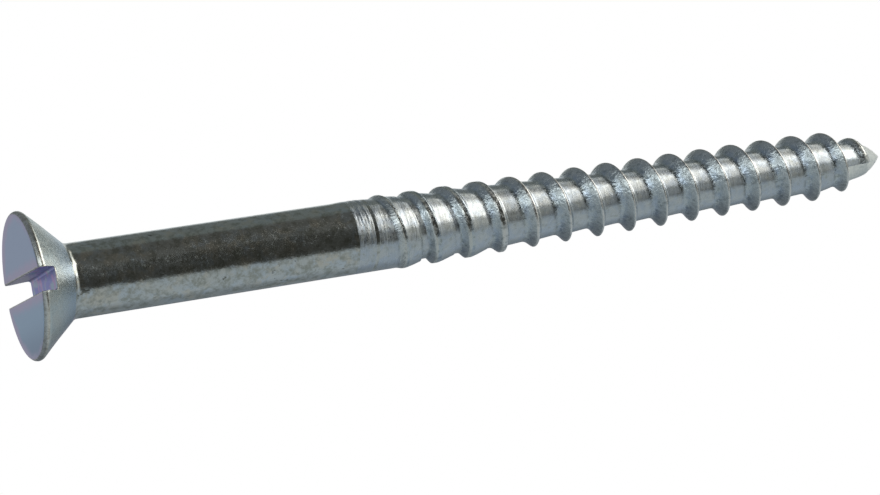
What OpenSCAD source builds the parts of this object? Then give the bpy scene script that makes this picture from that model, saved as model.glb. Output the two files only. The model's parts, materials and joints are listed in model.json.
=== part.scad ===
// Slotted flat head wood screw, 6 x 80 mm, with a partly plain shank.
// The screw stands on its head: the flat face is at z = 0, the axis is Z and
// the point is at the top. The driver slot runs along X.
// Head and shank are one turned profile. The thread is a single-start
// right-hand ridge round a core that deepens from the shank to the full root.

/* [Screw] */
// Overall length, from the flat face to the point
screw_length = 80; // [70:1:120]
// Length of the threaded end, point included
thread_length = 50; // [40:0.5:60]
// Diameter of the plain shank
shank_d = 6.08; // [5.6:0.02:6.3]

/* [Head] */
// Largest diameter of the head
head_d = 12; // [10.5:0.1:14]
// Included angle of the countersunk cone, in degrees
countersink_angle = 86; // [78:1:92]
// Radius of the worn edge between the flat face and the cone
edge_r = 0.35; // [0.15:0.05:0.6]
// Radius of the fillet where the cone runs into the shank
fillet_r = 0.45; // [0.2:0.05:0.9]

/* [Slot] */
// Width of the driver slot
slot_w = 1.85; // [1.2:0.05:2.4]
// Depth of the driver slot below the flat face
slot_depth = 1.7; // [1:0.1:2.2]

/* [Thread] */
// Distance from one turn of the ridge to the next
pitch = 3.11; // [2.6:0.01:3.6]
// Outer diameter over the first crests
crest_d = 6.34; // [6:0.02:6.6]
// Outer diameter that the crests fall to by the tip
last_crest_d = 6; // [5.6:0.02:6.4]
// Diameter of the core at full depth
root_d = 4.56; // [4:0.02:5]
// Diameter of the core in the first, shallow turns
first_root_d = 5.28; // [5:0.02:5.6]
// Width of the ridge's flank on the side towards the head
head_flank_w = 1; // [0.8:0.02:1.2]
// Width of the steeper flank on the side towards the point
tip_flank_w = 0.64; // [0.45:0.01:0.9]
// Width of the flat left on top of the ridge
crest_w = 0.12; // [0.06:0.02:0.3]
// How hollow the flank towards the head is; 1 is straight
hollow = 1.5; // [1:0.1:2]
// Height of the first crest above the end of the plain shank, on the +X side
first_crest = 1.28; // [0.8:0.01:2]
// Turns over which the first groove sinks in
run_in_turns = 1.5; // [0.8:0.1:2]
// Turns before the core starts to deepen
shallow_turns = 3.1; // [2:0.1:4]
// Turns after which the core has its full depth
full_turns = 7.4; // [6:0.1:9]

/* [Point] */
// Diameter at the base of the rounded point
point_d = 3.26; // [2.6:0.02:3.6]
// Length of the rounded point
point_length = 3.15; // [2.4:0.05:4.5]
// Length over which the core tapers down to the point
taper_length = 4.3; // [3:0.1:6]
// Length over which the ridge dies out on the point
fade_length = 1.95; // [1.5:0.05:3]
// Distance from the ridge's end to the tip
fade_gap = 1.65; // [1.2:0.05:2.4]

/* [Fineness] */
// Steps round one turn of the thread
turn_steps = 32; // [24:1:36]
// Facets round the head and shank
round_steps = 96; // [48:4:144]

/* [Hidden] */

shank_r = shank_d / 2;
head_r = head_d / 2;
crest_r = crest_d / 2;
last_crest_r = last_crest_d / 2;
root_r = root_d / 2;
first_root_r = first_root_d / 2;
point_r = point_d / 2;
cone_angle = countersink_angle / 2;

thread_start = screw_length - thread_length;
point_start = screw_length - point_length;
fade_end = screw_length - fade_gap;
taper_end = point_start + point_length / 8;

// The edge's arc runs from the flat face to the cone's tangent point.
edge_centre = [head_r - edge_r, edge_r];
edge_end = edge_centre + edge_r * [cos(90 - cone_angle), sin(90 - cone_angle)];
edge_steps = 8;

// The fillet's arc touches the cone on one side and the shank on the other.
cone_normal = [cos(cone_angle), sin(cone_angle)];
fillet_x = shank_r + fillet_r;
fillet_z = edge_end.y + (fillet_r - (fillet_x - edge_end.x) * cone_normal.x) / cone_normal.y;
fillet_steps = 6;

// The thread's rows: place of each row across one pitch, from its crest. The
// flank towards the head has two rows between foot and crest, the other has one.
head_side = head_flank_w - crest_w / 2;
head_shares = [0.4, 0.72];
tip_side = tip_flank_w - crest_w / 2;
tip_share = 0.5;
row_offset = [
    -head_flank_w,
    -head_flank_w + head_side * head_shares[0],
    -head_flank_w + head_side * head_shares[1],
    -crest_w / 2,
    crest_w / 2,
    crest_w / 2 + tip_side * tip_share,
    tip_flank_w,
    (tip_flank_w + pitch - head_flank_w) / 2
];
rows = len(row_offset);

// How much of a flank's shape is rounded at foot and crest; the rest is straight.
round_share = 0.25;

// Turns over which the ridge rises at its start, and over which the long slope
// of the shallow turns gives way to the steep flank.
rise_turns = 0.3;
change_turns = 0.5;

// The thread's core starts this far inside the shank and this much thinner.
root_overlap = 0.6;
root_step = 0.03;
core_start = thread_start - root_overlap;
turns = ceil(thread_length / pitch) + 2;

// Eases from 0 to 1 as t goes from 0 to 1.
function ease(t) = let (u = min(max(t, 0), 1)) u * u * (3 - 2 * u);

// Turns passed since the end of the plain shank.
function turns_at(z) = (z - thread_start) / pitch;

// Core radius of the threaded part before it tapers to the point.
function straight_root(z) =
    shank_r - root_step
    + (first_root_r - shank_r + root_step) * ease(turns_at(z) / run_in_turns)
    + (root_r - first_root_r)
      * ease((turns_at(z) - shallow_turns) / (full_turns - shallow_turns));

// Core radius with the taper and the rounded point.
function core_at(z) =
    let (
        taper = ease((z - taper_end + taper_length) / taper_length),
        nose = min(max((z - point_start) / point_length, 0), 1)
    )
    (straight_root(z) + (point_r - root_r) * taper) * (1 - nose * nose);

// Height of the ridge above the core: it rises at the start and fades at the point.
function ridge_at(z) =
    let (
        rise = ease(turns_at(z) / rise_turns),
        fade = min(max((fade_end - z) / fade_length, 0), 1),
        fall = (crest_r - last_crest_r) * (z - thread_start) / thread_length
    )
    (crest_r - fall - straight_root(z)) * rise * fade;

// Share of the ridge's height at an offset from its crest. The flank towards the
// head is hollow, the other steep. In the shallow turns the steep one is instead
// one long slope down to the next ridge.
function ridge_share(offset, z) =
    let (
        early = 1 - ease((turns_at(z) - shallow_turns) / change_turns),
        long_slope = early * (pitch - head_flank_w - tip_flank_w),
        foot = offset < 0 ? head_flank_w : tip_flank_w + long_slope,
        run = (foot - abs(offset)) / (foot - crest_w / 2),
        flank = (1 - round_share) * min(max(run, 0), 1) + round_share * ease(run)
    )
    offset < 0 ? pow(flank, hollow) : flank;

// Height of row k at step s of its turn, along the helix.
function row_z(k, s) =
    thread_start + first_crest
    + row_offset[(k + rows * turns) % rows]
    + pitch * (floor(k / rows) + s / turn_steps);

function row_r(k, s) =
    let (z = row_z(k, s))
    core_at(z) + ridge_at(z) * ridge_share(row_offset[(k + rows * turns) % rows], z);

// One profile for head and shank, from the axis outwards and up.
module turned_blank() {
    edge = [
        for (i = [0:edge_steps])
            let (a = -90 + (180 - cone_angle) * i / edge_steps)
            edge_centre + edge_r * [cos(a), sin(a)]
    ];
    fillet = [
        for (i = [0:fillet_steps])
            let (a = 180 + cone_angle * (1 - i / fillet_steps))
            [fillet_x, fillet_z] + fillet_r * [cos(a), sin(a)]
    ];
    rotate_extrude($fn = round_steps)
        polygon(concat(
            [[0, 0]],
            edge,
            fillet,
            [[shank_r, thread_start], [0, thread_start]]
        ));
}

// The driver's slot runs right across the head.
module driver_slot() {
    slot_reach = head_d + 2;
    translate([-slot_reach / 2, -slot_w / 2, -1])
        cube([slot_reach, slot_w, slot_depth + 1]);
}

// The thread is one closed surface on a helical grid. Rows that would start
// below the core's start end on its first ring, and rows past the tip end on it.
module threaded_end() {
    snap = pitch / 40;
    first_row = -rows * 2;
    last_row = rows * (turns - 1) - 1;
    row_count = last_row - first_row + 1;
    ring_end = turn_steps;
    centre = ring_end;
    tip = ring_end + 1;
    grid_start = ring_end + 2;

    ring = [
        for (s = [0:turn_steps - 1])
            let (a = 360 * s / turn_steps)
            [(shank_r - root_step) * cos(a), (shank_r - root_step) * sin(a), core_start]
    ];
    grid = [
        for (k = [first_row:last_row], s = [0:turn_steps - 1])
            let (
                a = 360 * s / turn_steps,
                z = min(max(row_z(k, s), core_start), screw_length),
                r = row_r(k, s)
            )
            [r * cos(a), r * sin(a), z]
    ];

    // Number of the point that row k has at step s; step turn_steps is step 0
    // of the same row one turn later.
    function point_no(k, s) =
        s == turn_steps ? point_no(k + rows, 0)
        : row_z(k, s) < core_start + snap ? s
        : row_z(k, s) > screw_length - snap ? tip
        : grid_start + (k - first_row) * turn_steps + s;

    function is_face(f) = f[0] != f[1] && f[1] != f[2] && f[2] != f[0];

    sides = [
        for (k = [first_row:last_row - rows - 1], s = [0:turn_steps - 1])
            let (
                a = point_no(k, s),
                b = point_no(k, s + 1),
                c = point_no(k + 1, s + 1),
                d = point_no(k + 1, s)
            )
            each [[a, d, c], [a, c, b]]
    ];
    base = [
        for (s = [0:turn_steps - 1])
            [s, (s + 1) % turn_steps, centre]
    ];
    polyhedron(
        points = concat(ring, [[0, 0, core_start], [0, 0, screw_length]], grid),
        faces = [for (f = concat(sides, base)) if (is_face(f)) f]
    );
}

module screw() {
    color("lightsteelblue")
        union() {
            difference() {
                turned_blank();
                driver_slot();
            }
            threaded_end();
        }
}

screw();
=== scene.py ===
# Slotted flat head wood screw, standing on its head, for Blender 4.5
import json
import math
import bpy
import numpy as np
from mathutils import Euler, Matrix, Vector


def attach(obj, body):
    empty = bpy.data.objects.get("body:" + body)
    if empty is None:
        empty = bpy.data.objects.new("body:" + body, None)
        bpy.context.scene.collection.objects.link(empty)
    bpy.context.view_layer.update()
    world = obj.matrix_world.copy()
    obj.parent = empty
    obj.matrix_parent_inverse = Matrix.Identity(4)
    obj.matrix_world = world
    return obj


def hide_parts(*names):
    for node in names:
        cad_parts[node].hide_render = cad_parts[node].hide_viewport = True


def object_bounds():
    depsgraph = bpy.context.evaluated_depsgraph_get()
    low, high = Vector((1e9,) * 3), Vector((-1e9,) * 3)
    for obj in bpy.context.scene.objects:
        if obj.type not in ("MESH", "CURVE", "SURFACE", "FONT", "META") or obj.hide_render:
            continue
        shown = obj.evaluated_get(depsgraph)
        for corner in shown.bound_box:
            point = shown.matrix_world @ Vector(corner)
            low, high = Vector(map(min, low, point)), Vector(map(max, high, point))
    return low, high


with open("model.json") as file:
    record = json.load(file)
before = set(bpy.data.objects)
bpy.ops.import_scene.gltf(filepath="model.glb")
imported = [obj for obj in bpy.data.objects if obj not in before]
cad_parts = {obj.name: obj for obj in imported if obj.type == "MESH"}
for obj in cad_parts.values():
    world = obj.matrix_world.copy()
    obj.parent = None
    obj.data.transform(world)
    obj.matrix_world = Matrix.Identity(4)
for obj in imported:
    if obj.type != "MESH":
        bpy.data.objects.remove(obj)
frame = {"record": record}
cadLow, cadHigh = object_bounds()
mm = 0.001

plainShank = next(m for m in frame["record"]["mounts"] if m["name"] == "shank")
screwLength = cadHigh.z / mm
headRadius = cadHigh.y / mm
shankRadius = plainShank["dims"]["r_mm"]
threadStart = plainShank["pos_m"][2] / mm + plainShank["dims"]["length_mm"] / 2

# all lengths in mm, angles in degrees; z runs from the head's face to the point. Pairs
# whose names end in Grow or Fade hold where a change starts and how long it takes.
screw = dict(
    # points of each ring, and where the first one lies, in turns from +X
    stations=160, firstTurn=-0.25,
    # head, and how far it sits aside of the shank's axis
    edgeRadius=0.35, coneAngle=43, filletRadius=0.6, headTop=5.0, headShift=-0.13, headShiftFade=(1.2, 2.8),
    edgeSteps=24, filletSteps=12, coneRings=39, coneCrowd=1.7,
    # slot; slotTilt is how much its floor rises in 1 mm towards +X, slotEnd how far out it ends
    slotWidth=1.84, slotDepth=1.7, slotTilt=0.04, slotEnd=5, slotShift=0.14, slotLip=0.13, slotFillet=0.2,
    slotSteps=5, wallSteps=3, floorEdge=0.02, corner=0.14, cornerSteps=4,
    # places of the face's points along each line, as shares, up to its middle
    faceShares=(0.015, 0.05, 0.1, 0.175, 0.25, 0.325, 0.4, 0.465),
    # depths and heights where one material gives way to the next
    faceDepth=0.001, edgeLow=0.03, edgeTop=0.44, filletStart=3.4, rollStart=27.65, collar=(29.16, 29.43),
    # upper end of each part of the shank and how many rings it has; the core starts above
    shankRings=((26.6, 43), (27.65, 7), (29.5, 47)),
    # height and place of the rings that rolling leaves round the end of the plain shank,
    # and the angle of the side that shows them
    rollMarks=((26.6, 0), (27.65, 0.045), (28.18, 0.02), (28.27, 0.05), (28.68, 0.02), (28.78, 0.045),
               (29.14, 0), (29.45, 0), (30.3, -0.1)),
    rollSide=-70,
    # thread; turns count from the end of the plain shank or from the first crest on the +X side
    pitch=3.1115, crestRadius=3.17, crestFall=0.0033, rootRadius=2.25, firstRoot=2.64,
    headFoot=1.16, firstHeadFoot=0.68, headFootGrow=(0.5, 4), straightFoot=0.5, hollow=1.86, tipFoot=0.5,
    firstLand=0.22, lastLand=0.04, landGrow=(0.4, 0.8), landFade=(3, 2), flankRound=0.36,
    firstCrest=1.28, crestShift=0.3, crestShiftFade=(-0.3, 1.6), bulge=0.05, bulgeTurn=-0.2, bulgeWidth=0.3,
    longLow=0.45, lateSlope=0.14, longFade=0.5, grooveGrow=(-0.75, 0.95), ridgeGrow=(-0.65, 0.35),
    shallowTurns=3.1, fullTurns=7.15, coreGrow=0.5,
    # point
    pointRadius=1.63, pointLength=3.15, taperLength=4.3, taperInto=0.125, fadeLength=1.88, fadeGap=1.66,
    pointTurn=14.05, pointEdge=0.1,
    # marks on the ridge for its material, and from where it counts as ridge
    markWidth=0.1, flankMarkGrow=(-0.8, 0.6), ridgeShown=0.2, landEdge=0.05,
    # places of the helix rows across one pitch, from the crest
    rows=(-1.24, -1.13, -1.03, -0.93, -0.84, -0.76, -0.66, -0.56, -0.46, -0.38, -0.3, -0.23, -0.16, -0.1,
          -0.04, 0.02, 0.08, 0.14, 0.2, 0.27, 0.35, 0.45, 0.56, 0.68, 0.85, 1.15, 1.48, 1.73),
    # turns of rows before the first crest; rows within this part of a pitch snap to an end
    turnsBefore=3, snapParts=60,
)
# number of each material
region = dict(face=0, rim=1, cone=2, slot=3, shank=4, core=5, ridge=6, point=7)


def ease(t):
    # 0 to 1 with flat ends: 3t^2 - 2t^3
    t = np.clip(t, 0, 1)
    return t * t * (3 - 2 * t)


def ramp(value, start, length):
    # 0 up to start, 1 from start + length
    return ease((value - start) / length)


def ringAngles():
    # angle of each point of a ring
    s = screw
    return 2 * math.pi * s["firstTurn"] + 2 * math.pi * np.arange(s["stations"]) / s["stations"]


def headProfile():
    # outline from the face's rim outwards and up: edge arc, cone, fillet, shank.
    # Returns radius and height against the length along the outline.
    s = screw
    cone = math.radians(s["coneAngle"])
    edge = s["edgeRadius"]
    turn = np.linspace(-math.pi / 2, math.pi / 2 - cone, s["edgeSteps"])
    edgeR = headRadius - edge + edge * np.cos(turn)
    edgeZ = edge + edge * np.sin(turn)
    bend = s["filletRadius"]
    bendX = shankRadius + bend
    bendZ = edgeZ[-1] + (bend - (bendX - edgeR[-1]) * math.cos(cone)) / math.sin(cone)
    turn = math.pi + np.linspace(cone, 0, s["filletSteps"])
    radius = np.concatenate([edgeR, bendX + bend * np.cos(turn), [shankRadius]])
    height = np.concatenate([edgeZ, bendZ + bend * np.sin(turn), [s["headTop"]]])
    along = np.concatenate([[0], np.cumsum(np.hypot(np.diff(radius), np.diff(height)))])
    return along, radius, height


def slotProfile():
    # section of the face across the slot, from y = -rim to +rim: flat, rounded lip,
    # wall, rounded foot, floor, and the same mirrored. Returns y and z.
    s = screw
    half, deep, lip, foot = s["slotWidth"] / 2, s["slotDepth"], s["slotLip"], s["slotFillet"]
    steps, wallSteps = s["slotSteps"], s["wallSteps"]
    rim = headRadius - s["edgeRadius"]
    floorY = np.linspace(0, half - foot - s["floorEdge"], steps)
    turn = np.linspace(0, math.pi / 2, steps)
    footY = half - foot + foot * np.sin(turn)
    footZ = deep - foot + foot * np.cos(turn)
    wallY = np.full(wallSteps, half)
    wallZ = np.linspace(deep - foot, lip, wallSteps + 2)[1:-1]
    lipY = half + lip - lip * np.cos(turn)
    lipZ = lip - lip * np.sin(turn)
    # the rest of a quarter's lines are on the face
    count = s["stations"] // 4 + 1 - 3 * steps - wallSteps
    faceY = rim * np.sin(np.radians(np.linspace(0, 90, count + 1)))
    faceY = half + lip + (faceY[1:] / rim) * (rim - half - lip)
    y = np.concatenate([floorY, footY, wallY, lipY, faceY])
    z = np.concatenate([np.full(steps, deep), footZ, wallZ, lipZ, np.zeros(count)])
    y, z = np.concatenate([-y[:0:-1], y]), np.concatenate([z[:0:-1], z])
    beside = np.clip((rim - np.abs(y)) / (rim - half - lip), 0, 1)
    return y + s["slotShift"] * beside, z


def rollShare(angle):
    # how much of the rolled rings each side shows
    return 0.5 + 0.5 * np.cos(angle - math.radians(screw["rollSide"]))


def shankAt(z, angle):
    # plain shank with the rolled rings before the thread
    places, heights = zip(*screw["rollMarks"])
    return shankRadius + np.interp(z, places, heights) * rollShare(angle)


def turnsAt(z):
    # turns past the end of the plain shank
    return (z - threadStart) / screw["pitch"]


def straightRoot(z, angle, groove):
    # core radius: the first groove sinks in along the helix, stays shallow, and later
    # reaches full depth. groove counts the groove's turns.
    s = screw
    first = (shankRadius - s["firstRoot"]) * ramp(groove, *s["grooveGrow"])
    late = ramp(turnsAt(z), s["shallowTurns"], s["fullTurns"] - s["shallowTurns"])
    return np.minimum(shankAt(z, angle), shankRadius - first) - (s["firstRoot"] - s["rootRadius"]) * late


def coreAt(z, angle, groove):
    # core radius with the taper and the rounded point: r (1 - t^2)
    s = screw
    pointStart = screwLength - s["pointLength"]
    taperEnd = pointStart + s["pointLength"] * s["taperInto"]
    taper = ease((z - taperEnd + s["taperLength"]) / s["taperLength"])
    nose = np.clip((z - pointStart) / s["pointLength"], 0, 1)
    straight = straightRoot(z, angle, groove)
    return (straight + (s["pointRadius"] - s["rootRadius"]) * taper) * (1 - nose * nose)


def ridgeAt(z, angle, groove, crestTurn):
    # height of the ridge: rises at the start, highest there, and dies out on the point
    s = screw
    rise = ramp(crestTurn, *s["ridgeGrow"])
    fade = np.clip((screwLength - s["fadeGap"] - z) / s["fadeLength"], 0, 1)
    bulge = s["bulge"] * np.exp(-((crestTurn - s["bulgeTurn"]) / s["bulgeWidth"]) ** 2)
    crest = s["crestRadius"] - s["crestFall"] * (z - threadStart) + bulge
    return (crest - straightRoot(z, angle, groove)) * rise * fade


def headFootAt(z):
    # width of the flank towards the head: narrower on the first turns
    s = screw
    return s["firstHeadFoot"] + (s["headFoot"] - s["firstHeadFoot"]) * ramp(turnsAt(z), *s["headFootGrow"])


def landAt(z):
    # half the width of the flat on the ridge, widest on the second and third turns
    s = screw
    wide = ramp(turnsAt(z), *s["landGrow"]) * (1 - ramp(turnsAt(z), *s["landFade"]))
    return s["lastLand"] + (s["firstLand"] - s["lastLand"]) * wide


def ridgeShare(offset, z, angle):
    # share of the ridge's height across one pitch: hollow on the side towards the head,
    # steep on the other, where early on a long slope runs down to the next ridge
    s = screw
    early = 1 - ramp(turnsAt(z), s["shallowTurns"], s["longFade"])
    headFoot, land = headFootAt(z), landAt(z)

    def flank(foot):
        run = (foot - np.abs(offset)) / (foot - land)
        return s["flankRound"] * ease(run) + (1 - s["flankRound"]) * np.clip(run, 0, 1)

    slope = s["lateSlope"] + (1 - s["lateSlope"]) * early * (1 - s["longLow"] * rollShare(angle))
    tipSide = (1 - slope) * flank(s["tipFoot"]) + slope * flank(s["pitch"] - headFoot)
    # a narrow flank is straighter
    hollow = 1 + (s["hollow"] - 1) * (headFoot - s["straightFoot"]) / (s["headFoot"] - s["straightFoot"])
    return np.where(offset < 0, flank(headFoot) ** hollow, tipSide)


def headGrid():
    # Face and slot: lines along x at each point of the slot's section, ending on the
    # outer outline. Outside: from those ends straight up to an even ring on the shank,
    # ruled in angle and length along the outline. Corners between them are rounded.
    # Returns the rings of the outside and the inner points of the lines.
    s = screw
    stations = s["stations"]
    along, radius, height = headProfile()
    y, z = slotProfile()
    last = len(y) - 1
    station = np.arange(stations)
    side = np.where(station <= last, 1, -1)
    line = np.where(station <= last, station, stations - station)
    # where each line's corner lies on the outline; the saw cut is deeper at one end
    endDeep = z[line] * (1 - side * s["slotEnd"] * s["slotTilt"] / s["slotDepth"])
    rimAlong = np.interp(endDeep, height, along)
    rimAlong[endDeep <= 0] = 0
    rimRadius = np.interp(rimAlong, along, radius)
    rimX = side * np.sqrt(np.clip(rimRadius ** 2 - y[line] ** 2, 0, None))
    startAngle = np.arctan2(y[line], rimX)
    endAngle = ringAngles()
    startAngle = endAngle + (startAngle - endAngle + math.pi) % (2 * math.pi) - math.pi

    def onOutline(share):
        # share of the way from each corner to the ring on the shank
        where = rimAlong + (along[-1] - rimAlong) * share
        angle = startAngle + (endAngle - startAngle) * share
        r = np.interp(where, along, radius)
        return np.stack([r * np.cos(angle), r * np.sin(angle), np.interp(where, along, height)], -1)

    innerX = rimX - side * np.minimum(s["corner"], np.abs(rimX))
    inner = np.stack([innerX, y[line], z[line] * (1 - innerX * s["slotTilt"] / s["slotDepth"])], -1)
    middle = onOutline(np.zeros(stations))
    first = s["corner"] / (along[-1] - rimAlong)
    outer = onOutline(first)
    t = np.linspace(0, 1, s["cornerSteps"] + 1)[:, None, None]
    rounded = inner * (1 - t) ** 2 + middle * 2 * t * (1 - t) + outer * t * t
    # the rings crowd towards the rim
    rise = np.linspace(0, 1, s["coneRings"] + 1)[1:] ** s["coneCrowd"]
    rows = [onOutline(first + (1 - first) * share) for share in rise]
    rings = np.concatenate([rounded, np.stack(rows)])
    across = np.array(s["faceShares"])
    across = np.concatenate([across, 1 - across[::-1]])
    right, left = innerX[1:last], innerX[stations - np.arange(1, last)]
    x = left[:, None] + (right - left)[:, None] * across
    deep = z[1:last, None] * (1 - x * s["slotTilt"] / s["slotDepth"])
    face = np.stack([x, y[1:last, None] + 0 * x, deep], -1)
    return rings, face


def ringFaces(first, second):
    # two triangles between each pair of points of two rings, which hold point numbers
    a, b = first, np.roll(first, -1)
    c, d = np.roll(second, -1), second
    return np.concatenate([np.stack([a, b, c], -1), np.stack([a, c, d], -1)])


def buildScrew():
    # one closed skin: face and slot, outside of the head, shank, thread and point
    s = screw
    stations = s["stations"]
    print("screw: head and slot")
    rings, face = headGrid()
    points, triangles, regions, marks = [], [], [], []
    total = 0

    def add(block, mark=(0, 0, 0)):
        # mark holds how much each point is foot, crest and flank of the ridge
        nonlocal total
        block = block.reshape(-1, 3)
        points.append(block)
        marks.append(np.broadcast_to(mark, block.shape))
        total += len(block)
        return np.arange(total - len(block), total)

    def skin(faces, where):
        # where is the region of each face
        triangles.append(faces)
        regions.append(np.broadcast_to(where, len(faces)))

    ringNo = [add(ring) for ring in rings]
    for i, (low, high) in enumerate(zip(ringNo[:-1], ringNo[1:])):
        height = rings[i][:, 2] / 2 + rings[i + 1][:, 2] / 2
        rim = (height < s["edgeTop"]) | (i < s["cornerSteps"])
        tests = [height < s["edgeLow"], rim, height < s["filletStart"]]
        outside = np.select(tests, [region["face"], region["rim"], region["cone"]], region["shank"])
        skin(ringFaces(low, high), np.tile(outside, 2))
    faceNo = add(face).reshape(face.shape[:2])
    last = stations // 2
    left = stations - np.arange(1, last)
    grid = np.concatenate([ringNo[0][left][:, None], faceNo, ringNo[0][1:last][:, None]], 1)
    bottom = np.full((1, grid.shape[1]), ringNo[0][0])
    top = np.full((1, grid.shape[1]), ringNo[0][last])
    grid = np.concatenate([bottom, grid, top])
    a, b, c, d = grid[:-1, :-1], grid[:-1, 1:], grid[1:, 1:], grid[1:, :-1]
    lineZ = slotProfile()[1]
    deep = (lineZ[:-1] + lineZ[1:]) / 2
    tests = [deep < s["faceDepth"], deep < s["slotLip"]]
    inside = np.select(tests, [region["face"], region["rim"]], region["slot"])
    inside = np.repeat(inside, grid.shape[1] - 1)
    skin(np.stack([a, c, b], -1).reshape(-1, 3), inside)
    skin(np.stack([a, d, c], -1).reshape(-1, 3), inside)

    print("screw: shank")
    angle = ringAngles()
    levels, coreStart = [], s["headTop"]
    for top, count in s["shankRings"]:
        levels.extend(np.linspace(coreStart, top, count + 1)[1:])
        coreStart = top
    below = ringNo[-1]
    for level in levels:
        r = shankAt(level, angle)
        ring = add(np.stack([r * np.cos(angle), r * np.sin(angle), np.full(stations, level)], -1))
        plain = level <= s["rollStart"] or s["collar"][0] < level < s["collar"][1]
        skin(ringFaces(below, ring), region["shank" if plain else "core"])
        below = ring

    print("screw: thread and point")
    # each row climbs one pitch a turn at its offset from the crest, and its end joins the
    # start of the row one turn on. Its radius is the core's plus a share of the ridge's
    # height. Points before the start become points of the last ring, those past the tip the tip.
    offset = np.array(s["rows"])
    per = len(offset)
    turnCount = math.ceil((screwLength - threadStart) / s["pitch"]) + s["turnsBefore"] + 1
    k = np.arange(per * turnCount)
    crestTurn = (k // per - s["turnsBefore"])[:, None] + np.arange(stations) / stations + s["firstTurn"]
    z = threadStart + s["firstCrest"] + offset[k % per][:, None] + s["pitch"] * crestTurn
    snap = s["pitch"] / s["snapParts"]
    before, after = z < coreStart + snap, z > screwLength - snap / 2
    # the first crests lie a little further on; the groove on a crest's head side is a turn older
    place = offset[k % per][:, None] - s["crestShift"] * (1 - ramp(crestTurn, *s["crestShiftFade"]))
    groove = crestTurn - (place < 0)
    r = coreAt(z, angle, groove) + ridgeAt(z, angle, groove, crestTurn) * ridgeShare(place, z, angle)
    blend = ramp(z, coreStart, s["coreGrow"])
    r = shankAt(z, angle) * (1 - blend) + r * blend
    # marks for the material: near the ridge's foot, near its crest (of this turn or the next), flank
    # the foot mark only darkens the colour there in the materials: painted shade in the crease at the ridge's
    # foot
    foot = np.minimum(np.abs(place + headFootAt(z)), np.abs(place - s["pitch"] + headFootAt(z)))
    foot = np.exp(-((foot / s["markWidth"]) ** 2))
    crest = np.minimum(np.abs(place), np.abs(place - s["pitch"])) - landAt(z)
    crest = 1 - ease(crest / s["markWidth"])
    flank = ramp(place, *s["flankMarkGrow"]) * (place <= 0)
    started = ramp(crestTurn, *s["ridgeGrow"])
    mark = np.stack([foot, crest, flank], -1) * started[..., None]
    number = np.full(z.shape, -1)
    keep = ~before & ~after
    helix = np.stack([r * np.cos(angle), r * np.sin(angle), z], -1)[keep]
    number[keep] = add(helix, mark[keep])
    tip = add(np.array([[0, 0, screwLength]]))[0]
    number[before] = np.broadcast_to(below, z.shape)[before]
    number[after] = tip
    # column one past the last is column 0 one turn on
    wide = np.concatenate([number[:-per], number[per:, :1]], 1)
    a, b, c, d = wide[:-1, :-1], wide[:-1, 1:], wide[1:, 1:], wide[1:, :-1]
    # each face takes its region from its first point; the bare point begins past the last crest
    z, place, crestTurn, started = (values[:-per - 1] for values in (z, place, crestTurn, started))
    onPoint = (crestTurn > s["pointTurn"] + 1) | (crestTurn > s["pointTurn"]) & (place > s["pointEdge"])
    onRidge = (place > -headFootAt(z)) & (place < landAt(z) + s["landEdge"])
    onRidge = onRidge & (started > s["ridgeShown"])
    onThread = np.select([onPoint, onRidge], [region["point"], region["ridge"]], region["core"]).ravel()
    skin(np.stack([a, b, c], -1).reshape(-1, 3), onThread)
    skin(np.stack([a, c, d], -1).reshape(-1, 3), onThread)

    points = np.concatenate(points)
    points[:, 1] += s["headShift"] * (1 - ramp(points[:, 2], *s["headShiftFade"]))
    points *= mm
    triangles = np.concatenate(triangles)
    regions = np.concatenate(regions).astype(np.int32)
    real = np.all(triangles != np.roll(triangles, 1, 1), 1)
    piece = meshObject("flatHeadWoodScrew", points, triangles[real])
    piece.data.polygons.foreach_set("material_index", regions[real])
    colours = np.ones((len(points), 4), np.float32)
    colours[:, :3] = np.concatenate(marks)
    ridge = piece.data.color_attributes.new("ridge", "FLOAT_COLOR", "POINT")
    ridge.data.foreach_set("color", colours.ravel())
    return piece


def meshObject(name, points, triangles):
    # points in metres, triangles as point numbers, shaded smooth
    mesh = bpy.data.meshes.new(name)
    mesh.vertices.add(len(points))
    mesh.vertices.foreach_set("co", points.astype(np.float32).ravel())
    mesh.loops.add(triangles.size)
    mesh.loops.foreach_set("vertex_index", triangles.astype(np.int32).ravel())
    mesh.polygons.add(len(triangles))
    mesh.polygons.foreach_set("loop_start", np.arange(0, triangles.size, 3, dtype=np.int32))
    mesh.update(calc_edges=True)
    mesh.validate()
    mesh.shade_smooth()
    piece = bpy.data.objects.new(name, mesh)
    bpy.context.scene.collection.objects.link(piece)
    print("  ", name, len(points), "points", len(triangles), "triangles")
    return piece


def emptyMaterial(name):
    # material without any nodes
    material = bpy.data.materials.new(name)
    material.use_nodes = True
    material.node_tree.nodes.clear()
    return material


def addNode(tree, kind, inputs={}, **settings):
    # a shader node in one line; inputs take sockets or plain values
    node = tree.nodes.new("ShaderNode" + kind)
    for key, value in settings.items():
        setattr(node, key, value)
    for key, value in inputs.items():
        if isinstance(value, bpy.types.NodeSocket):
            tree.links.new(value, node.inputs[key])
        else:
            node.inputs[key].default_value = value
    return node


# place in mm, turn in degrees, lens and sensor in mm, nearest and farthest view in metres
lookout = dict(
    place=(204.52, 18.23, -51.76), turn=(159.938, -65.289, 26.454), lens=108.47, sensor=36, clip=(0.01, 10),
)


def makeCamera():
    print("camera")
    data = bpy.data.cameras.new("camera")
    data.lens = lookout["lens"]
    data.sensor_width = lookout["sensor"]
    data.clip_start, data.clip_end = lookout["clip"]
    camera = bpy.data.objects.new("camera", data)
    camera.location = Vector(lookout["place"]) * mm
    camera.rotation_euler = Euler([math.radians(a) for a in lookout["turn"]])
    bpy.context.scene.collection.objects.link(camera)
    bpy.context.scene.camera = camera


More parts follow.
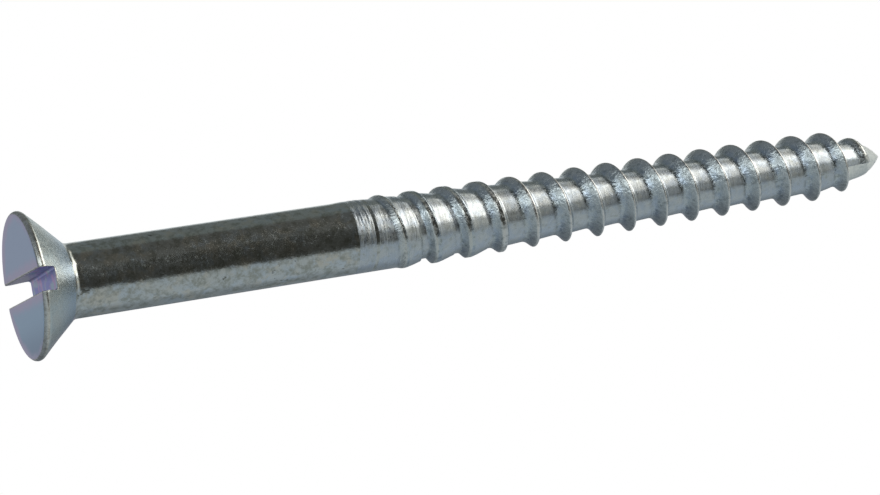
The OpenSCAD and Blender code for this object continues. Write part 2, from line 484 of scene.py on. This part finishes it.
# the studio round the screw, as the camera looks at it: bearing in degrees from straight
# away through the right, height in degrees above level; colours are light levels.
# Each panel has its centre, half its width and height, the softness of its edge and colour.
studio = dict(
    # radius of the tent in m, its centre in mm and the step of its grid in degrees
    radius=0.7, centre=(0, 0, 40), step=3,
    # tone below the level line and above it, by bearing
    ground=(
        (0, (0.22, 0.25, 0.27)), (20, (0.235, 0.27, 0.29)), (38, (0.325, 0.37, 0.405)),
        (55, (0.38, 0.435, 0.47)), (120, (0.38, 0.42, 0.43)), (180, (0.36, 0.41, 0.44)),
        (212, (0.29, 0.345, 0.385)), (232, (0.25, 0.30, 0.345)), (255, (0.23, 0.275, 0.31)),
        (285, (0.18, 0.215, 0.245)), (345, (0.12, 0.14, 0.165)), (360, (0.20, 0.23, 0.25)),
    ),
    walls=(
        (0, (0.15, 0.17, 0.165)), (48, (0.15, 0.17, 0.165)), (66, (0.095, 0.097, 0.09)),
        (150, (0.09, 0.092, 0.085)), (200, (0.11, 0.13, 0.15)), (255, (0.17, 0.20, 0.23)),
        (300, (0.16, 0.185, 0.21)), (360, (0.15, 0.17, 0.165)),
    ),
    level=((0, -4), (30, -4), (60, -6), (90, -8), (112, -16), (128, -27), (150, -26), (172, -15), (195, -4),
           (212, 3), (235, 0), (260, -20), (300, -15), (360, -4)),
    levelSoft=5,
    panels=(
        ((20, 11), (40, 13), 8, (0.64, 0.69, 0.70)),
        ((13, -9), (11, 6), 6, (0.08, 0.10, 0.12)),
        ((1, -9), (6, 5), 4, (0.28, 0.27, 0.32)),
        ((98, 6), (20, 15), 13, (0.55, 0.57, 0.54)),
        ((165, 4), (12, 9), 8, (0.22, 0.25, 0.28)),
        ((137, 5), (13, 30), 7, (0.044, 0.045, 0.04)),
        ((87, 38), (28, 20), 6, (2.45, 2.42, 2.28)),
        ((42, 50), (18, 8), 5, (1.3, 1.3, 1.22)),
        ((178, 25), (20, 11), 9, (1.85, 2.0, 2.05)),
        ((214, 13), (22, 11), 10, (1.35, 1.52, 1.62)),
        ((316, -6), (26, 14), 8, (0.40, 0.41, 0.46)),
    ),
    # floor: radii of its rings and where it starts to fade, in m; its drop below the face, in mm
    floorRings=(0.1, 0.3, 0.62), floorFade=0.3, floorGap=0.03, floorSteps=96, floorTone=0.9,
)


def studioAxes():
    # right, up and away for the camera's own turn
    turn = Euler([math.radians(a) for a in lookout["turn"]]).to_matrix()
    return [np.array(turn.col[0]), np.array(turn.col[1]), -np.array(turn.col[2])]


def lightAt(bearing, height):
    # level of light from each direction: ground tone below the level line, wall tone
    # above, then each panel laid over with a soft edge
    s = studio

    def tone(knots):
        places, colours = zip(*knots)
        return np.stack([np.interp(bearing % 360, places, channel) for channel in zip(*colours)], -1)

    level = np.interp(bearing % 360, *zip(*s["level"]))
    under = ease((level - height) / s["levelSoft"] + 0.5)[..., None]
    light = tone(s["ground"]) * under + tone(s["walls"]) * (1 - under)
    for centre, half, soft, colour in s["panels"]:
        across = np.abs((bearing - centre[0] + 180) % 360 - 180)
        upwards = np.abs(height - centre[1])
        inside = ease((half[0] - across) / soft + 0.5) * ease((half[1] - upwards) / soft + 0.5)
        light = light * (1 - inside[..., None]) + np.array(colour) * inside[..., None]
    return light


def makeTent():
    # closed sphere of light that only reflections see
    print("tent")
    s = studio
    right, up, away = studioAxes()
    bearing = np.arange(0, 360, s["step"])
    height = np.linspace(-90, 90, 180 // s["step"] + 1)
    lon, lat = np.meshgrid(np.radians(bearing), np.radians(height), indexing="ij")
    direction = (np.sin(lon) * np.cos(lat))[..., None] * right + np.sin(lat)[..., None] * up \
        + (np.cos(lon) * np.cos(lat))[..., None] * away
    points = (np.array(s["centre"]) * mm + direction * s["radius"]).reshape(-1, 3)
    n, m = len(bearing), len(height)
    number = np.arange(n * m).reshape(n, m)
    nextNo = np.roll(number, -1, 0)
    a, b, c, d = number[:, :-1], nextNo[:, :-1], nextNo[:, 1:], number[:, 1:]
    triangles = np.concatenate([np.stack([a, c, b], -1), np.stack([a, d, c], -1)]).reshape(-1, 3)
    tent = meshObject("tent", points, triangles)
    colour = np.ones((n * m, 4), np.float32)
    colour[:, :3] = lightAt(np.degrees(lon), np.degrees(lat)).reshape(-1, 3)
    shade = tent.data.color_attributes.new("light", "FLOAT_COLOR", "POINT")
    shade.data.foreach_set("color", colour.ravel())
    glow = emptyMaterial("tent")
    tree = glow.node_tree
    light = addNode(tree, "Attribute", attribute_name="light").outputs["Color"]
    addNode(tree, "OutputMaterial", {0: addNode(tree, "Emission", {"Color": light}).outputs[0]})
    tent.data.materials.append(glow)
    tent.visible_camera = False
    tent.visible_diffuse = False
    tent.visible_shadow = False


def makeWorld():
    # white backdrop and soft light from all sides
    print("world")
    world = bpy.data.worlds.new("studio")
    bpy.context.scene.world = world
    world.use_nodes = True
    world.node_tree.nodes["Background"].inputs[0].default_value = (1, 1, 1, 1)
    world.cycles.sampling_method = "NONE"


def makeFloor():
    # pale disc under the head that fades out into the white backdrop; it carries the
    # screw's shadow, and from underneath the camera looks through it
    print("floor")
    s = studio
    steps, radii = s["floorSteps"], s["floorRings"]
    angle = 2 * math.pi * np.arange(steps) / steps
    drop = -s["floorGap"] * mm
    rings = [np.stack([r * np.cos(angle), r * np.sin(angle), drop + 0 * angle], -1) for r in radii]
    points = np.concatenate([[[0, 0, drop]]] + rings)
    numbers = 1 + np.arange(steps * len(radii)).reshape(-1, steps)
    triangles = [np.stack([np.zeros(steps, int), numbers[0], np.roll(numbers[0], -1)], -1)]
    for inner, outer in zip(numbers[:-1], numbers[1:]):
        triangles.append(ringFaces(inner, outer)[:, ::-1])
    floor = meshObject("floor", points, np.concatenate(triangles))
    paint = emptyMaterial("floor")
    tree = paint.node_tree
    place = addNode(tree, "TexCoord").outputs["Object"]
    out = addNode(tree, "VectorMath", {0: place}, operation="LENGTH").outputs["Value"]
    reach = {0: out, 1: s["floorFade"], 2: radii[-1]}
    fade = addNode(tree, "MapRange", reach, interpolation_type="SMOOTHSTEP")
    under = addNode(tree, "NewGeometry").outputs["Backfacing"]
    seen = addNode(tree, "LightPath").outputs["Is Camera Ray"]
    under = addNode(tree, "Math", {0: under, 1: seen}, operation="MULTIPLY").outputs[0]
    clear = addNode(tree, "Math", {0: fade.outputs[0], 1: under}, operation="MAXIMUM").outputs[0]
    diffuse = addNode(tree, "BsdfDiffuse", {"Color": (s["floorTone"],) * 3 + (1,)}).outputs[0]
    glass = addNode(tree, "BsdfTransparent").outputs[0]
    mixed = addNode(tree, "MixShader", {0: clear, 1: diffuse, 2: glass}).outputs[0]
    addNode(tree, "OutputMaterial", {0: mixed})
    floor.data.materials.append(paint)
    floor.visible_glossy = False
    floor.visible_shadow = False


# how each region of the zinc plating looks: tints, depth of the grain in mm and roughness
# (from its shiny to its dull spots). Patches and grain are noise: cells per mm, detail and
# roughness, then for patches where they begin and are full, and last how much each axis
# counts. Other pairs are places in mm between which a tint comes in.
plating = dict(
    face=dict(
        tint=(0.45, 0.56, 0.69), pink=(0.57, 0.53, 0.66), teal=(0.40, 0.57, 0.68), low=(0.28, 0.40, 0.50),
        rough=0.3, depth=0.004, grain=(5, 3, 0.6), wander=(0.6, 2, 0.5), nearSlot=(2.4, 0.9),
        nearRim=(4.6, 6.0), rimLean=-0.12, pinkShare=(0.1, 1.0), tealFrom=(0.6, 2.6), lowFrom=(2.5, 5.5),
    ),
    rim=dict(
        tint=(0.76, 0.74, 0.68), dark=(0.54, 0.51, 0.45), rough=(0.2, 0.35), depth=0.015, grain=(4, 3, 0.65),
        darkPatches=(2.2, 3, 0.65, 0.4, 0.62), dullPatches=(3.0, 3, 0.6, 0.35, 0.65),
    ),
    cone=dict(
        tint=(0.58, 0.64, 0.64), warm=(0.62, 0.64, 0.61), cool=(0.44, 0.52, 0.60), dark=(0.48, 0.52, 0.51),
        rough=(0.2, 0.36), depth=0.02, grain=(4, 4, 0.65), warmPatches=(1.1, 4, 0.65, 0.35, 0.65),
        coolFrom=(1.2, 3.3), darkPatches=(3.2, 4, 0.7, 0.5, 0.75), dullPatches=(2.5, 4, 0.65, 0.3, 0.7),
    ),
    slot=dict(
        # the pale colour on the walls towards -X is a painted reflection
        blue=(0.28, 0.30, 0.66), violet=(0.58, 0.36, 0.62), teal=(0.40, 0.52, 0.62), paintedReflection=(0.94, 0.82, 0.94),
        rough=0.3, depth=0.01, grain=(5, 3, 0.6), violetPatches=(0.9, 2, 0.5, 0.42, 0.58),
        tealPatches=(0.7, 1, 0.5, 0.5, 0.65, (1, 1.3, 0.8)), wallFoot=0.4, paintedReflectionFrom=(1.5, -0.5),
    ),
    shank=dict(
        tint=(0.62, 0.64, 0.63), olive=(0.66, 0.63, 0.56), cool=(0.60, 0.65, 0.69), dark=(0.40, 0.41, 0.37),
        pit=(0.22, 0.22, 0.2), rough=(0.15, 0.3), depth=0.009, grain=(3.4, 3, 0.65), waves=(0.7, 3, 0.55),
        waveHeight=2.5, coolPatches=(0.8, 4, 0.65, 0.4, 0.6), tintPatches=(0.5, 2, 0.5, 0.4, 0.62),
        darkPatches=(1.5, 5, 0.72, 0.42, 0.66), pits=(1.3, 4, 0.6, 0.66, 0.71, (1, 1, 0.7)),
        specks=(3.4, 4, 0.7, 0.5, 0.72), clouds=(0.9, 3, 0.6, 0.35, 0.7), speckShare=0.75,
    ),
    # the rolled rings weaken over ringsFade to the share lateRings
    core=dict(
        # dark, laid on along the foot through footShadePatches, is painted shade in the crease
        tint=(0.64, 0.66, 0.66), cool=(0.56, 0.61, 0.67), dark=(0.2, 0.22, 0.24), worn=(0.46, 0.48, 0.45),
        rough=(0.25, 0.36), stretch=0.7, depth=0.01, grain=(3.5, 3, 0.6), rings=(5, 2, 0.6, (0.12, 0.12, 1)),
        ringDepth=0.045, ringsFade=8, lateRings=0.2, tintPatches=(1.0, 3, 0.6, 0.35, 0.65),
        wornPatches=(2.2, 4, 0.7, 0.5, 0.75), footShadePatches=(1.4, 2, 0.5, 0.35, 0.8),
        dullPatches=(2.5, 3, 0.6, 0.35, 0.65, (1, 1, 1.5)),
    ),
    ridge=dict(
        # warm, laid on the crest on later turns, is the crest's yellowish tint made paler as a painted
        # highlight
        tint=(0.62, 0.66, 0.66), cool=(0.50, 0.56, 0.63), high=(0.68, 0.69, 0.66), warm=(0.82, 0.80, 0.77),
        # dark serves both the worn patches and the painted shade along the foot
        dark=(0.18, 0.21, 0.20), rough=(0.12, 0.42), depth=0.075, grain=(2.8, 3, 0.65), crestSmooth=0.8,
        tintPatches=(1.3, 3, 0.6, 0.35, 0.65), warmHighlightFrom=(8, 13), warmPatches=(2.0, 2, 0.5, 0.2, 0.5),
        wornPatches=(2.0, 4, 0.7, 0.5, 0.68), wornShare=0.5, footShadePatches=(1.4, 2, 0.5, 0.35, 0.8),
        dullPatches=(2.6, 4, 0.7, 0.4, 0.62),
    ),
    point=dict(
        tint=(0.90, 0.91, 0.89), cool=(0.84, 0.86, 0.85), rough=0.9, depth=0.02, grain=(4, 4, 0.7),
        coolPatches=(2.2, 4, 0.7, 0.4, 0.65),
    ),
)


class Graph:
    # one metal's nodes, with its place in mm as self.place and its axes as self.split
    def __init__(self, name, rough=0.3, stretch=0):
        self.material = bpy.data.materials.new(name)
        self.material.use_nodes = True
        self.tree = self.material.node_tree
        self.shader = self.tree.nodes["Principled BSDF"]
        self.shader.inputs["Metallic"].default_value = 1
        self.shader.inputs["Roughness"].default_value = rough
        self.shader.inputs["Anisotropic"].default_value = stretch
        self.shader.inputs["Anisotropic Rotation"].default_value = 0.25
        coords = self.add("TexCoord").outputs["Object"]
        inMm = (1 / mm,) * 3
        self.place = self.add("VectorMath", {0: coords, 1: inMm}, operation="MULTIPLY").outputs[0]
        self.split = self.add("SeparateXYZ", {0: self.place}).outputs

    def add(self, kind, inputs={}, **settings):
        return addNode(self.tree, kind, inputs, **settings)

    def plug(self, socket, name):
        self.tree.links.new(socket, self.shader.inputs[name])

    def math(self, operation, first, second=0.0):
        return self.add("Math", {0: first, 1: second}, operation=operation).outputs[0]

    def noise(self, perMm, detail, rough, stretch=(1, 1, 1)):
        place = self.add("VectorMath", {0: self.place, 1: stretch}, operation="MULTIPLY").outputs[0]
        settings = {"Vector": place, "Scale": perMm, "Detail": detail, "Roughness": rough}
        return self.add("TexNoise", settings).outputs["Fac"]

    def band(self, value, low, high):
        # 0 below low, 1 above high, soft between; low may lie above high
        return self.add("MapRange", {0: value, 1: low, 2: high}, interpolation_type="SMOOTHSTEP").outputs[0]

    def patches(self, perMm, detail, rough, low, high, stretch=(1, 1, 1)):
        # noise cut into soft patches, 0 between them and 1 inside
        return self.band(self.noise(perMm, detail, rough, stretch), low, high)

    def mix(self, share, first, second):
        node = self.add("Mix", {0: share}, data_type="RGBA")
        for key, value in ((6, first), (7, second)):
            if isinstance(value, bpy.types.NodeSocket):
                self.tree.links.new(value, node.inputs[key])
            else:
                node.inputs[key].default_value = tuple(value) + (1,)
        return node.outputs[2]

    def ridgeMarks(self):
        # foot, crest and flank shares of the thread's ridge
        marks = self.add("Attribute", attribute_name="ridge").outputs["Color"]
        return self.add("SeparateColor", {0: marks}).outputs[:3]

    def fromAxis(self):
        # distance from the screw's axis in mm
        flat = self.add("CombineXYZ", {0: self.split[0], 1: self.split[1]}).outputs[0]
        return self.add("VectorMath", {0: flat}, operation="LENGTH").outputs["Value"]

    def dull(self, share, rough):
        # roughness between its shiny and its dull value
        value = self.add("MapRange", {0: share, 1: 0.0, 2: 1.0, 3: rough[0], 4: rough[1]}).outputs[0]
        self.plug(value, "Roughness")

    def finish(self, colour, height, depth):
        # height 0 to 1 raised by depth in mm
        bump = self.add("Bump", {"Height": height, "Distance": depth * mm, "Strength": 1.0}).outputs[0]
        self.plug(bump, "Normal")
        self.plug(colour, "Base Color")
        return self.material


def faceMetal():
    # pinkish by the slot and the rim, teal and then darker towards +Y
    p = plating["face"]
    g = Graph("zincFace", p["rough"])
    across = g.math("SUBTRACT", g.split[1], screw["slotShift"] + screw["headShift"])
    wander = g.math("SUBTRACT", g.noise(*p["wander"]), 0.5)
    nearSlot = g.band(g.math("ABSOLUTE", across), *p["nearSlot"])
    nearRim = g.band(g.math("ADD", g.fromAxis(), g.math("MULTIPLY", g.split[0], p["rimLean"])), *p["nearRim"])
    share = g.math("ADD", g.math("MAXIMUM", nearSlot, nearRim), wander)
    colour = g.mix(g.band(g.math("ADD", across, wander), *p["tealFrom"]), p["tint"], p["teal"])
    colour = g.mix(g.band(across, *p["lowFrom"]), colour, p["low"])
    colour = g.mix(g.band(share, *p["pinkShare"]), colour, p["pink"])
    return g.finish(colour, g.noise(*p["grain"]), p["depth"])


def rimMetal():
    # handled edge: pale, with darker worn patches
    p = plating["rim"]
    g = Graph("zincRim")
    colour = g.mix(g.patches(*p["darkPatches"]), p["tint"], p["dark"])
    g.dull(g.patches(*p["dullPatches"]), p["rough"])
    return g.finish(colour, g.noise(*p["grain"]), p["depth"])


def coneMetal():
    # mottled, bluer by the shank
    p = plating["cone"]
    g = Graph("zincCone")
    colour = g.mix(g.patches(*p["warmPatches"]), p["tint"], p["warm"])
    colour = g.mix(g.band(g.split[2], *p["coolFrom"]), colour, p["cool"])
    colour = g.mix(g.patches(*p["darkPatches"]), colour, p["dark"])
    g.dull(g.patches(*p["dullPatches"]), p["rough"])
    return g.finish(colour, g.noise(*p["grain"]), p["depth"])


def slotMetal():
    # tints of the passivation: violet, blue and teal patches; the pale colour on the walls towards -X is a
    # painted reflection
    p = plating["slot"]
    g = Graph("zincSlot", p["rough"])
    colour = g.mix(g.patches(*p["violetPatches"]), p["blue"], p["violet"])
    colour = g.mix(g.patches(*p["tealPatches"]), colour, p["teal"])
    # painted reflection: the walls turn pale towards -X
    walls = g.band(g.split[2], screw["slotDepth"], screw["slotDepth"] - p["wallFoot"])
    far = g.band(g.split[0], *p["paintedReflectionFrom"])
    colour = g.mix(g.math("MULTIPLY", walls, far), colour, p["paintedReflection"])
    return g.finish(colour, g.noise(*p["grain"]), p["depth"])


def shankMetal():
    # clouded plating with dull specks and a few dark pits
    p = plating["shank"]
    g = Graph("zincShank")
    colour = g.mix(g.patches(*p["coolPatches"]), p["olive"], p["cool"])
    colour = g.mix(g.patches(*p["tintPatches"]), colour, p["tint"])
    colour = g.mix(g.patches(*p["darkPatches"]), colour, p["dark"])
    colour = g.mix(g.patches(*p["pits"]), colour, p["pit"])
    specks = g.math("MULTIPLY", g.patches(*p["specks"]), p["speckShare"])
    clouds = g.math("MULTIPLY", g.patches(*p["clouds"]), 1 - p["speckShare"])
    g.dull(g.math("ADD", specks, clouds), p["rough"])
    waves = g.math("MULTIPLY", g.noise(*p["waves"]), p["waveHeight"])
    return g.finish(colour, g.math("ADD", g.noise(*p["grain"]), waves), p["depth"])


def coreMetal():
    # rolled rings, strong before the first turn, that spread the light along the axis
    p = plating["core"]
    g = Graph("zincCore", stretch=p["stretch"])
    g.plug(g.add("Tangent", direction_type="RADIAL", axis="Z").outputs[0], "Tangent")
    foot = g.ridgeMarks()[0]
    colour = g.mix(g.patches(*p["tintPatches"]), p["cool"], p["tint"])
    colour = g.mix(g.patches(*p["wornPatches"]), colour, p["worn"])
    # painted shade: darker along the foot of the next ridge
    colour = g.mix(g.math("MULTIPLY", foot, g.patches(*p["footShadePatches"])), colour, p["dark"])
    g.dull(g.patches(*p["dullPatches"]), p["rough"])
    early = g.band(g.split[2], threadStart + p["ringsFade"], threadStart)
    strength = g.math("ADD", g.math("MULTIPLY", early, 1 - p["lateRings"]), p["lateRings"])
    rings = g.math("MULTIPLY", g.noise(*p["rings"]), strength)
    rings = g.math("MULTIPLY", rings, p["ringDepth"] / p["depth"])
    return g.finish(colour, g.math("ADD", rings, g.noise(*p["grain"])), p["depth"])


def ridgeMetal():
    # speckled plating, warmer and worn on the crest, where the pale warm tint is partly a painted highlight,
    # with painted shade along the foot
    p = plating["ridge"]
    g = Graph("zincRidge")
    foot, crest, flank = g.ridgeMarks()
    colour = g.mix(g.patches(*p["tintPatches"]), p["cool"], p["tint"])
    colour = g.mix(flank, colour, p["high"])
    # paler warm crest on later turns: partly the crest's own tint, partly a painted highlight
    warmHighlightStart, warmHighlightFull = p["warmHighlightFrom"]
    late = g.math("MULTIPLY", crest, g.band(g.split[2], threadStart + warmHighlightStart, threadStart + warmHighlightFull))
    colour = g.mix(g.math("MULTIPLY", late, g.patches(*p["warmPatches"])), colour, p["warm"])
    colour = g.mix(g.math("MULTIPLY", g.patches(*p["wornPatches"]), p["wornShare"]), colour, p["dark"])
    # painted shade: darker along the ridge's foot
    colour = g.mix(g.math("MULTIPLY", foot, g.patches(*p["footShadePatches"])), colour, p["dark"])
    g.dull(g.patches(*p["dullPatches"]), p["rough"])
    # the flat on top is smoother
    rest = g.math("SUBTRACT", 1.0, g.math("MULTIPLY", crest, p["crestSmooth"]))
    return g.finish(colour, g.math("MULTIPLY", g.noise(*p["grain"]), rest), p["depth"])


def pointMetal():
    # dull and pale
    p = plating["point"]
    g = Graph("zincPoint", p["rough"])
    colour = g.mix(g.patches(*p["coolPatches"]), p["tint"], p["cool"])
    return g.finish(colour, g.noise(*p["grain"]), p["depth"])


makeCamera()
bpy.context.scene.view_settings.view_transform = "Standard"

piece = buildScrew()
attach(piece, "root")
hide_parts("screw")

print("materials")
# in the order of region
for paint in (faceMetal, rimMetal, coneMetal, slotMetal, shankMetal, coreMetal, ridgeMetal, pointMetal):
    piece.data.materials.append(paint())
makeTent()
makeWorld()
makeFloor()
